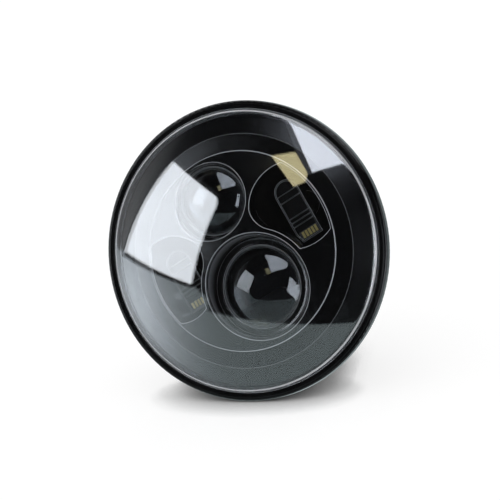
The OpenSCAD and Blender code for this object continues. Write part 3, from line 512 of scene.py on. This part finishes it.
def plan_cap(outer, holes, spacing=3.2):
    """Triangles of a plan region with holes: outline points first, in order, then the grid points."""
    loops = [outer] + holes
    edges, start = [], 0
    for loop in loops:
        index = np.arange(len(loop))
        edges.append(np.stack([start + index, start + np.roll(index, -1)], -1))
        start += len(loop)
    rim = np.vstack(loops)
    n = int(GRID_REACH / spacing) + 1
    row, column = np.meshgrid(np.arange(-n, n), np.arange(-n, n), indexing="ij")
    grid = np.stack([column + 0.5 * (row % 2), row * math.sqrt(3) / 2], -1).reshape(-1, 2) * spacing
    keep = inside(grid, outer)
    for hole in holes:
        keep &= ~inside(grid, hole)
    grid = grid[keep]
    apart = np.linalg.norm(grid[:, None] - rim[None], axis=2).min(axis=1)
    grid = grid[apart > spacing * 0.45]
    points = np.vstack([rim, grid])
    found = delaunay_2d_cdt([Vector(p) for p in points.tolist()], np.vstack(edges).tolist(), [], 0, 1e-7)
    origin = np.array([o[0] for o in found[3]])
    faces = origin[np.array(found[2])]
    middle = points[faces].mean(axis=1)
    keep = inside(middle, outer)
    for hole in holes:
        keep &= ~inside(middle, hole)
    return points, faces[keep]


def circle_plan(count, radius=1.0):
    """Points (r cos t, r sin t) of a full circle."""
    t = np.linspace(0, 2 * np.pi, count, endpoint=False)
    return radius * np.stack([np.cos(t), np.sin(t)], -1)


COLLAR_W, COLLAR_Z = 0.4, 3.5
# edge marks of a projector opening's loops: painted highlight lines on its rounded edge and bevel
OPENING_MARKS = [0, 0, 0, 0.8, 0.8, 0.1, 0, 0, 0.2]


def round_opening_loops(at_y, open_r, bore):
    """Loops of a projector opening: dome, rounded edge, bevel square to the dome, the bore's rings, the collar."""
    flat = circle_plan(300)
    tilt = math.asin(at_y / BEZEL_R)
    axis = np.array([0, math.sin(tilt), math.cos(tilt)])
    circle = flat @ [[1, 0, 0], [0, math.cos(tilt), -math.sin(tilt)]]
    top = math.sqrt(BEZEL_R**2 - open_r**2)

    def ring(radius, level):
        return np.array([0, 0, BEZEL_Z]) + level * axis + radius * circle

    loops = [ring(open_r + g, math.sqrt(BEZEL_R**2 - (open_r + g) ** 2)) for g in (0.6, 0.4, 0.2, 0.1)]
    bevel = [(0.04, 0.07), (0.25, 0.25), (BEVEL - 0.25, BEVEL - 0.25), (BEVEL - 0.06, BEVEL - 0.05),
             (BEVEL, BEVEL + 0.12)]
    loops += [ring(open_r - inset, top - sink) for inset, sink in bevel]
    collar = open_r + COLLAR_W
    for radius, z in bore + [(collar, COLLAR_Z)]:
        loops.append(raised(flat * radius + [0, at_y], z))
    loops.append(on_ball(flat * collar + [0, at_y], BEZEL_R - BEZEL_WALL))
    return loops, OPENING_MARKS + [0] * (len(loops) - len(OPENING_MARKS))


RING_Z = 6.3
FOOT = [(80.3, 1.32), (80.55, 1.1), (80.6, 0.9), (80.6, -0.7), (80.5, -0.8), (77.8, -0.8), (77.6, -0.7)]


def outer_loops():
    """Loops of the dome's rounded edge, the step, a shallow ring, the sloped ring, its foot and the way back."""
    flat = circle_plan(480)
    step_foot = STEP_Z - STEP_H
    run = [(r, ball_height(r), 0) for r in (STEP_R - 0.6, STEP_R - 0.5, STEP_R - 0.4, STEP_R - 0.35)]
    # the marks on the step's edge and on the crease are painted highlight lines
    run += [(STEP_R - 0.09, STEP_Z - 0.02, 0.8), (STEP_R + 0.05, STEP_Z - 0.2, 0.8)]
    run += [(STEP_R + 0.2, step_foot + 0.1, 0.2), (STEP_R + 0.35, step_foot, 0), (STEP_R + 0.6, step_foot - 0.03, 0)]
    run += [(r, z, 0) for r, z in np.linspace([STEP_R + 2, 7.6], [CREASE_R - 0.3, RING_Z + 0.05], 5)]
    run += [(CREASE_R - 0.15, RING_Z + 0.02, 0.15), (CREASE_R + 0.1, RING_Z - 0.05, 0.15)]
    run += [(CREASE_R + 0.3, RING_Z - 0.13, 0)]
    run += [(r, z, 0) for r, z in np.linspace([CREASE_R + 1, RING_Z - 0.45], [79.6, 1.65], 6)]
    run += [(r, z, 0) for r, z in FOOT]
    run += [(STEP_R, step_foot - BEZEL_WALL - 0.1, 0)]
    run += [(STEP_R - 0.2, ball_height(STEP_R - 0.2, BEZEL_R - BEZEL_WALL), 0)]
    return [raised(flat * r, z) for r, z, _ in run], [mark for *_, mark in run]


def wall_faces(first, second, outward):
    """Quads between two rings of point numbers; outward for the rim, inward for an opening."""
    a, a2, b, b2 = first, np.roll(first, -1), second, np.roll(second, -1)
    return np.stack([a2, a, b, b2] if outward else [a, a2, b2, b], -1)


def pillar(x, y):
    """A pillar from the heat plate into the bezel's skin, with its screw's blind hole."""
    top, hole_end = ball_height(math.hypot(x, y), BEZEL_R - BEZEL_WALL / 2), PLATE_Z + PILLAR_HOLE_DEPTH
    return turned([(0, top), (PILLAR_R, top), (PILLAR_R, PLATE_Z + 0.2), (PILLAR_R - 0.2, PLATE_Z),
                   (PILLAR_HOLE_R, PLATE_Z), (PILLAR_HOLE_R, hole_end), (0, hole_end)], 48, (x, y))


LOW_BORE = [(29.6, 9.6), (29.2, 7.6), (29.2, 3.6), (29.3, 3.5)]
HIGH_BORE = [(22.3, 12.0), (22.3, 3.6), (22.4, 3.5)]


def bezel_piece():
    """Dome cap, walls of every opening, the sloped ring and the underside as one closed skin, and four pillars."""
    side, side_marks = side_wall_loops()
    other = [(loop * [-1, 1, 1])[::-1] for loop in side]
    sets = [(*outer_loops(), True), (*round_opening_loops(LOW_Y, LOW_OPEN, LOW_BORE), False),
            (*round_opening_loops(HIGH_Y, HIGH_OPEN, HIGH_BORE), False),
            (side, side_marks, False), (other, side_marks, False)]
    tops = [loops[0][:, :2] for loops, *_ in sets]
    bottoms = [loops[-1][:, :2] for loops, *_ in sets]
    plan, top_faces = plan_cap(tops[0], tops[1:])
    plan_under, under_faces = plan_cap(bottoms[0], bottoms[1:], spacing=5.0)
    points = [on_ball(plan, BEZEL_R)]
    marks = [np.zeros(len(plan))]
    faces = top_faces.tolist()
    total, at = len(plan), 0
    last_rings = []
    for loops, loop_marks, outward in sets:
        ring = at + np.arange(len(loops[0]))
        at += len(loops[0])
        for loop, mark in zip(loops[1:], loop_marks[1:]):
            points.append(loop)
            marks.append(np.full(len(loop), mark))
            below = total + np.arange(len(loop))
            total += len(loop)
            faces += wall_faces(ring, below, outward).tolist()
            ring = below
        last_rings.append(ring)
    grid = plan_under[sum(len(b) for b in bottoms):]
    points.append(on_ball(grid, BEZEL_R - BEZEL_WALL))
    marks.append(np.zeros(len(grid)))
    number = np.concatenate(last_rings + [total + np.arange(len(grid))])
    faces += number[under_faces][:, ::-1].tolist()
    pillars = [pillar(x, y) for x in (-PILLAR_X, PILLAR_X) for y in (-PILLAR_Y, PILLAR_Y)]
    return make_mesh("domed_bezel", [(np.vstack(points), faces, np.concatenate(marks))] + pillars, 50)


dress(bezel_piece(), "bezel", "bezel_black")

# %% [markdown]
# Each projector shows three things: a bulging glass, a satin ring with a slightly hollow face that
# holds it, and the dark space behind. The glass is solid, flat behind and round in front, because a
# real projector lens bends what is seen through it.


# %% Projector glasses and rings
FOOT_WIDTH, FOOT_MARK = 2.4, 0.75
HOLLOW_R = 6.0


def glass_profile(radius, rise, flange, seat):
    """Flat back, flange, then the dome's arc from its foot to the pole; the marks rise toward the foot."""
    top = seat + FLANGE_T
    ball = (radius**2 + rise**2) / (2 * rise)
    centre = top + rise - ball
    foot = math.degrees(math.asin((top - centre) / ball))
    dome = arc((0, centre), ball, foot, 90, 60)
    dome[-1, 0] = 0.0
    rim = [(0, seat), (flange - 0.2, seat), (flange, seat + 0.2), (flange, top - 0.2), (flange - 0.2, top)]
    profile = np.vstack([rim, [(radius + 0.25, top)], dome])
    # the marks are a painted glow that grows toward the dome's foot
    marks = np.clip((profile[:, 0] - radius) / FOOT_WIDTH + 1, 0, 1) ** 1.5 * FOOT_MARK
    marks[:5] = 0
    return profile, marks


def ring_profile(glass_r, flange, ring_r, seat):
    """Ring section: seat over the flange, rounded lip, a face hollowed by an arc of HOLLOW_R, rounded outer edge."""
    under, top, bore = seat + FLANGE_T, seat + FLANGE_T + LIP_T, glass_r + 0.2
    middle, reach = (bore + ring_r) / 2, (ring_r - bore) / 2 - 0.3
    x = np.linspace(reach, -reach, 11)
    face = np.stack([middle + x, top + math.sqrt(HOLLOW_R**2 - reach**2) - np.sqrt(HOLLOW_R**2 - x**2)], -1)
    outer = [(flange + 0.2, seat), (ring_r - 0.15, seat), (ring_r, seat + 0.15), (ring_r, top - 0.3),
             (ring_r - 0.09, top - 0.09)]
    inner = [(bore + 0.09, top - 0.09), (bore, top - 0.3), (bore, under + 0.05), (bore + 0.05, under),
             (flange + 0.2, under)]
    marks = np.zeros(len(outer) + len(face) + len(inner))
    # the marks on the two rounded lips are painted highlight lines
    marks[[len(outer) - 1, len(outer) + len(face)]] = 0.9
    return np.vstack([outer, face, inner]), marks


for label, at_y, glass_r, rise, ring_r, seat in (
        ("low", LOW_Y, LOW_GLASS, LOW_RISE, LOW_RING, LOW_SEAT),
        ("high", HIGH_Y, HIGH_GLASS, HIGH_RISE, HIGH_RING, HIGH_SEAT)):
    profile, foot_marks = glass_profile(glass_r, rise, glass_r + FLANGE_W, seat)
    dress(make_mesh(label + "_glass", [turned(profile, 240, (0, at_y), foot_marks)]),
          label + "_beam_lens", "projector_glass")
    profile, lip_marks = ring_profile(glass_r, glass_r + FLANGE_W, ring_r, seat)
    dress(make_mesh(label + "_ring", [turned(profile, 240, (0, at_y), lip_marks)]),
          label + "_lens_ring", "ring_grey")

# %% [markdown]
# Each side bowl is a glossy black cup: a ball-shaped floor whose walls follow the half-moon opening, a
# pad in the middle and a post down to the heat plate. A lamp bar stands in front of it, a tongue with a
# raised lip and cross ribs, whose stem rests on the pad. Both are stacks of loops over outlines.


# %% Side bowls and lamp bars
BOWL_BALL = (BOWL_R**2 + BOWL_DEPTH**2) / (2 * BOWL_DEPTH)
BOWL_BALL_Z = BOWL_TOP - BOWL_DEPTH + BOWL_BALL
PAD_R, PAD_Z, POST_R = 8.0, BOWL_TOP - BOWL_DEPTH + 2.5, 6.0
BAR_X, BAR_W, BAR_TOP, BAR_BOTTOM = 40.6, 16.0, 23.5, -15.0
BAR_FRONT, BAR_T, BAR_LIP, BAR_GAP = 3.0, 5.0, 1.2, 0.6
BAR_FLOOR = BAR_FRONT - BAR_LIP - 0.05
RIB_HALF_L, RIB_TOP = 7.2, 2.55
RIBS = [(-4.5, 0.5), (-1.8, 0.5), (0.9, 0.5), (11.5, 0.5), (15.9, 0.4)]
STEM = [(-5.0, -7), (4.0, -7), (4.0, 7), (-5.0, 7)]
# the marks on the tongue's rounded lip are painted highlight lines
BAR_STEPS = [
    (0.3, -2.0, 0), (0, -1.7, 0), (0, 0.5, 0), (0, 2.65, 0), (0.05, 2.82, 0.8), (0.15, 2.94, 0.8), (0.3, 3.0, 0.8),
    (0.45, 3.0, 0), (0.8, 3.0, 0), (0.95, 2.97, 0.6), (1.08, 2.88, 0.6), (1.18, 2.7, 0),
    (BAR_LIP, BAR_FLOOR + 0.1, 0), (BAR_LIP, BAR_FLOOR, 0)]


def side_bowl():
    """Post, ball-shaped outside, wall, rounded top edge, inner wall, ball-shaped floor and the pad's step."""
    middle = np.array([BOWL_X, BOWL_Y])
    flat = circle_plan(OUTLINE_COUNT)

    def on_floor(plan, radius):
        return raised(plan, BOWL_BALL_Z - np.sqrt(radius**2 - ((plan - middle) ** 2).sum(-1)))

    outer, inner = side_outline(BOWL_WALL), side_outline(0.0)
    post, pad = middle + POST_R * flat, middle + PAD_R * flat
    loops = [raised(middle + (POST_R - 0.3) * flat, PLATE_Z), raised(post, PLATE_Z + 0.3)]
    loops += [on_floor(post + s * (outer - post), BOWL_BALL + BOWL_WALL) for s in np.linspace(0, 1, 20)]
    loops += [raised(outer, BOWL_TOP - 0.15), raised(side_outline(BOWL_WALL - 0.15), BOWL_TOP)]
    loops.append(raised(side_outline(0.3), BOWL_TOP))
    rounding = len(loops)
    loops += [raised(side_outline(0.1), BOWL_TOP - 0.02), raised(side_outline(0.02), BOWL_TOP - 0.1)]
    loops += [np.maximum(raised(inner, z), on_floor(inner, BOWL_BALL)) for z in BOWL_TOP - 0.25 - 3.0 * np.arange(3)]
    loops += [on_floor(inner + s * (pad - inner), BOWL_BALL) for s in np.linspace(0, 1, 48)]
    loops += [raised(pad, PAD_Z - 0.2), raised(middle + (PAD_R - 0.06) * flat, PAD_Z - 0.06)]
    loops.append(raised(middle + (PAD_R - 0.2) * flat, PAD_Z))
    marks = np.zeros(len(loops))
    # the marks on the bowl's rounded top edge and on the pad's step are painted highlight lines
    marks[[rounding, rounding + 1]] = 0.5
    marks[-2] = 0.4
    return skin(loops, marks)


def bar_outline(inset, z):
    """Outline of the tongue at a height: straight sides, round top and flat foot, kept clear of the bowl by a gap."""
    ball = math.sqrt((BOWL_BALL - BAR_GAP) ** 2 - (BOWL_BALL_Z - z) ** 2)
    half = BAR_W / 2 - inset

    def distance(x, y):
        return np.maximum.reduce([np.abs(x - BAR_X) - half, BAR_BOTTOM + inset - y,
                                  np.hypot(x - BAR_X, np.maximum(y - BAR_TOP + BAR_W / 2, 0)) - half,
                                  np.hypot(x - BOWL_X, y - BOWL_Y) - ball + inset,
                                  side_distance(x, y, -BAR_GAP - inset)])

    return raised(walk_out((BAR_X + 1, 0), distance), z)


def lamp_bar():
    """The tongue's lip and its floor, just below the face of the board that is let into it, the ribs and the stem."""
    pieces = [skin([bar_outline(inset, z) for inset, z, _ in BAR_STEPS], [mark for *_, mark in BAR_STEPS])]
    for y, half in RIBS:
        corner = np.array([[-RIB_HALF_L, -half], [RIB_HALF_L, -half], [RIB_HALF_L, half], [-RIB_HALF_L, half]])
        soft = corner - np.sign(corner) * 0.12
        stack = [raised(corner + [BAR_X, y], z) for z in (BAR_FLOOR - 0.3, RIB_TOP - 0.15)]
        # the mark on each rib's top edge is a painted highlight line
        pieces.append(skin(stack + [raised(soft + [BAR_X, y], RIB_TOP)], [0, 0, 0.35]))
    corner = np.array(STEM) + [BOWL_X, BOWL_Y]
    pieces.append(skin([raised(corner, PAD_Z), raised(corner, BAR_FRONT - BAR_T + 0.5)], [0, 0]))
    return pieces


for side, turn in (("right", lambda part: part), ("left", mirrored)):
    dress(make_mesh(side + "_bowl", [turn(side_bowl())], 30), side + "_side_reflector", "bowl_dark")
    dress(make_mesh(side + "_bar", [turn(part) for part in lamp_bar()], 30), side + "_lamp_bar", "bar_dark")

# %% [markdown]
# The table. The lamp leans back on its rim and its rear, so in the lamp's own frame the table is a
# tilted plane through the rim's lowest point. It ends in front along a straight edge, which lies in the
# same plane as the horizon that the lens mirrors as a slanted line. From below and in mirrors the table
# is clear: so it hides nothing in other views, and a mirror shows the world's even floor instead.

# %% Table
LEAN = math.radians(23.5)
RIM_R = 0.089
face_up = math.cos(CLOCKING) * np.array([0.0, 0, 1]) + math.sin(CLOCKING) * np.array([1.0, 0, 0])
TABLE_UP = math.cos(LEAN) * face_up + math.sin(LEAN) * np.array([0.0, -1, 0])
lowest = -RIM_R * face_up


def picture(azimuth, elevation):
    """Direction (sin a cos e, sin e, cos a cos e) in camera axes, in degrees to the camera's right and above it."""
    a, e = math.radians(azimuth), math.radians(elevation)
    return math.sin(a) * math.cos(e) * CAMERA_RIGHT + math.sin(e) * CAMERA_UP + math.cos(a) * math.cos(e) * TO_CAMERA


def great_circle(first, second):
    """Normal of the plane through two directions: their cross product, made one long."""
    normal = np.cross(first, second)
    return normal / np.linalg.norm(normal)


HORIZON = great_circle(picture(-94, -5), picture(0, -28.5))
HORIZON = HORIZON if HORIZON @ CAMERA_UP > 0 else -HORIZON
REACH = 6.0
edge_way = great_circle(TABLE_UP, HORIZON)
inward = np.cross(TABLE_UP, edge_way)
inward = -inward if inward @ HORIZON > 0 else inward
edge_at = lowest + inward * (-(lowest @ HORIZON) / (inward @ HORIZON))
print("table edge is", round(float(np.linalg.norm(edge_at - lowest)), 2), "m from the lamp")

CONTACT = 0.022
FILL = 0.76


def table_material():
    """White from above, with the lamp's shadow deeper where things come near, and clear from below and in mirrors."""
    material, add = new_material("white_table")
    below = add("ShaderNodeNewGeometry").outputs["Backfacing"]
    place = add("ShaderNodeTexCoord").outputs["Object"]
    grain = add("ShaderNodeTexNoise", {"Vector": place, "Scale": 900.0, "Detail": 3.0})
    shade = add("ShaderNodeMapRange", {"Value": grain.outputs["Fac"], "To Min": 0.25, "To Max": 0.27})
    paper = add("ShaderNodeBsdfDiffuse", {"Color": shade.outputs["Result"]})
    open_air = add("ShaderNodeAmbientOcclusion", {"Distance": CONTACT}, samples=4).outputs["AO"]
    contact = add("ShaderNodeMath", {0: open_air, 1: 2.0}, operation="POWER").outputs[0]
    fill = add("ShaderNodeMath", {0: contact, 1: FILL}, operation="MULTIPLY").outputs[0]
    glow = add("ShaderNodeEmission", {"Color": (1, 1, 1, 1), "Strength": fill})
    lit = add("ShaderNodeAddShader", {0: paper.outputs["BSDF"], 1: glow.outputs["Emission"]})
    in_mirror = add("ShaderNodeLightPath").outputs["Is Glossy Ray"]
    unseen = add("ShaderNodeMath", {0: below, 1: in_mirror}, operation="MAXIMUM").outputs[0]
    clear = add("ShaderNodeBsdfTransparent")
    mixed = add("ShaderNodeMixShader", {0: unseen, 1: lit.outputs["Shader"], 2: clear.outputs["BSDF"]})
    add("ShaderNodeOutputMaterial", {"Surface": mixed.outputs["Shader"]})
    return material


corners = [edge_at + a * REACH * edge_way + b * REACH * inward for a, b in ((-1, 0), (1, 0), (1, 2), (-1, 2))]
table_mesh = bpy.data.meshes.new("table")
table_mesh.from_pydata([list(c) for c in corners], [], [[0, 1, 2, 3]])
table = bpy.data.objects.new("table", table_mesh)
bpy.context.scene.collection.objects.link(table)
if np.dot(np.array(table_mesh.polygons[0].normal), TABLE_UP) < 0:
    table_mesh.flip_normals()
table_mesh.materials.append(table_material())
print("camera stands", round(math.degrees(math.asin(TABLE_UP @ TO_CAMERA)), 1), "degrees above the table")

# %% [markdown]
# The room is a world of plain shapes seen by direction: a dark room in front, white behind the lamp, a
# white floor below a slanted horizon that glows toward one side, four soft boxes, two of them with a dim
# frame, and a tan board. Each is the part of the sphere between great circles, so a mirror shows it with
# clean edges. Camera rays see plain white, and diffuse rays a soft light that is stronger from behind.

# %% World
ROOM_FRONT, ROOM_BACK = (0.02, 0.02, 0.021), (1.3, 1.32, 1.35)
FLOOR, FLOOR_GLOW, GLOW_POWER = (0.76, 0.89, 0.91), (3.6, 3.9, 4.2), 14.0
GLOW_WAY = picture(-95, -15)
FLOOR_AT_LEFT = [(-97, 0), (-90, -2.8), (-60.5, -13.9), (-56, -18), (-60, -30), (-97, -14)]
SOFT_FRONT, SOFT_BACK = (0.5, 0.5, 0.5), (1.65, 1.65, 1.65)
CLEAN_EDGE = 0.004
BOXES = [
    ([(-73.5, 24.5), (-50.5, 15), (-61.5, -14.2), (-91.5, -3.4)], (0.12, 0.12, 0.125)),
    ([(-73.8, 23.3), (-51.5, 14.2), (-51, 11.8), (-61.7, -13), (-90, -2.3)], (6.9, 7.2, 7.6)),
    ([(-18.5, 23), (15, 30), (27, 52), (0, 67), (-54, 58)], (0.3, 0.31, 0.35)),
    ([(-16.3, 24.1), (14, 31), (25, 50), (0.5, 65), (-50, 57)], (6.6, 6.9, 7.6)),
    ([(19, 15.5), (42, -5), (45, -33), (13, -12)], (8.0, 8.3, 9.0)),
    ([(46, 27), (63, 29), (63, -6), (46, -8)], (5.0, 5.4, 5.6)),
    ([(-33.2, 29.3), (-23.8, 31.2), (-18, 23.8), (-18.5, 20.8), (-22.9, 19)], (4.5, 4.0, 2.3)),
]

world = bpy.data.worlds.new("studio")
bpy.context.scene.world = world
world.use_nodes = True
world.cycles.sampling_method = "NONE"
sky = node_adder(world.node_tree)
heading = sky("ShaderNodeTexCoord").outputs["Generated"]


def toward(way):
    """Cosine of the angle between the ray and a direction: the dot product of the two."""
    return sky("ShaderNodeVectorMath", {0: heading, 1: tuple(way)}, operation="DOT_PRODUCT").outputs["Value"]


def side_of(normal, soft):
    """0 on the far side of a great circle and 1 on the near side, with a soft step of this width."""
    return sky("ShaderNodeMapRange", {"Value": toward(normal), "From Min": -soft, "From Max": soft}).outputs["Result"]


def window(corners):
    """Product of the sides of all edges: 1 inside the polygon of (azimuth, elevation) corners and 0 outside."""
    ways = [picture(*c) for c in corners]
    middle = sum(ways)
    share = None
    for first, second in zip(ways, ways[1:] + ways[:1]):
        normal = great_circle(first, second)
        step = side_of(normal if normal @ middle > 0 else -normal, CLEAN_EDGE)
        share = step if share is None else sky("ShaderNodeMath", {0: share, 1: step}, operation="MULTIPLY").outputs[0]
    return share


def over(below, share, above):
    """Mix of two colours, each a triple or a socket, by a share."""
    pair = {key: value if isinstance(value, bpy.types.NodeSocket) else (*value, 1)
            for key, value in (("A", below), ("B", above))}
    return sky("ShaderNodeMix", {"Factor": share, **pair}, data_type="RGBA").outputs["Result"]


glow_share = sky("ShaderNodeMath", {0: toward(GLOW_WAY), 1: 0.0}, operation="MAXIMUM").outputs[0]
glow_share = sky("ShaderNodeMath", {0: glow_share, 1: GLOW_POWER}, operation="POWER").outputs[0]
floor_tone = over(FLOOR, glow_share, FLOOR_GLOW)
room = over(ROOM_FRONT, side_of(-TO_CAMERA, 0.25), ROOM_BACK)
room = over(room, side_of(-HORIZON, CLEAN_EDGE), floor_tone)
room = over(room, window(FLOOR_AT_LEFT), floor_tone)
for outline, colour in BOXES:
    room = over(room, window(outline), colour)
back = TABLE_UP * (TO_CAMERA @ TABLE_UP) - TO_CAMERA
soft_light = over(SOFT_FRONT, side_of(back / np.linalg.norm(back), 0.6), SOFT_BACK)
paths = sky("ShaderNodeLightPath").outputs
seen = over(room, paths["Is Diffuse Ray"], soft_light)
seen = over(seen, paths["Is Camera Ray"], (1, 1, 1))
glow = sky("ShaderNodeBackground", {"Color": seen, "Strength": 1.0})
sky("ShaderNodeOutputWorld", {"Surface": glow.outputs["Background"]})
print(len(world.node_tree.nodes), "world nodes")

# %% [markdown]
# The plain view transform keeps each colour as it was mixed.

# %% View settings
scene = bpy.context.scene
scene.view_settings.view_transform = "Standard"
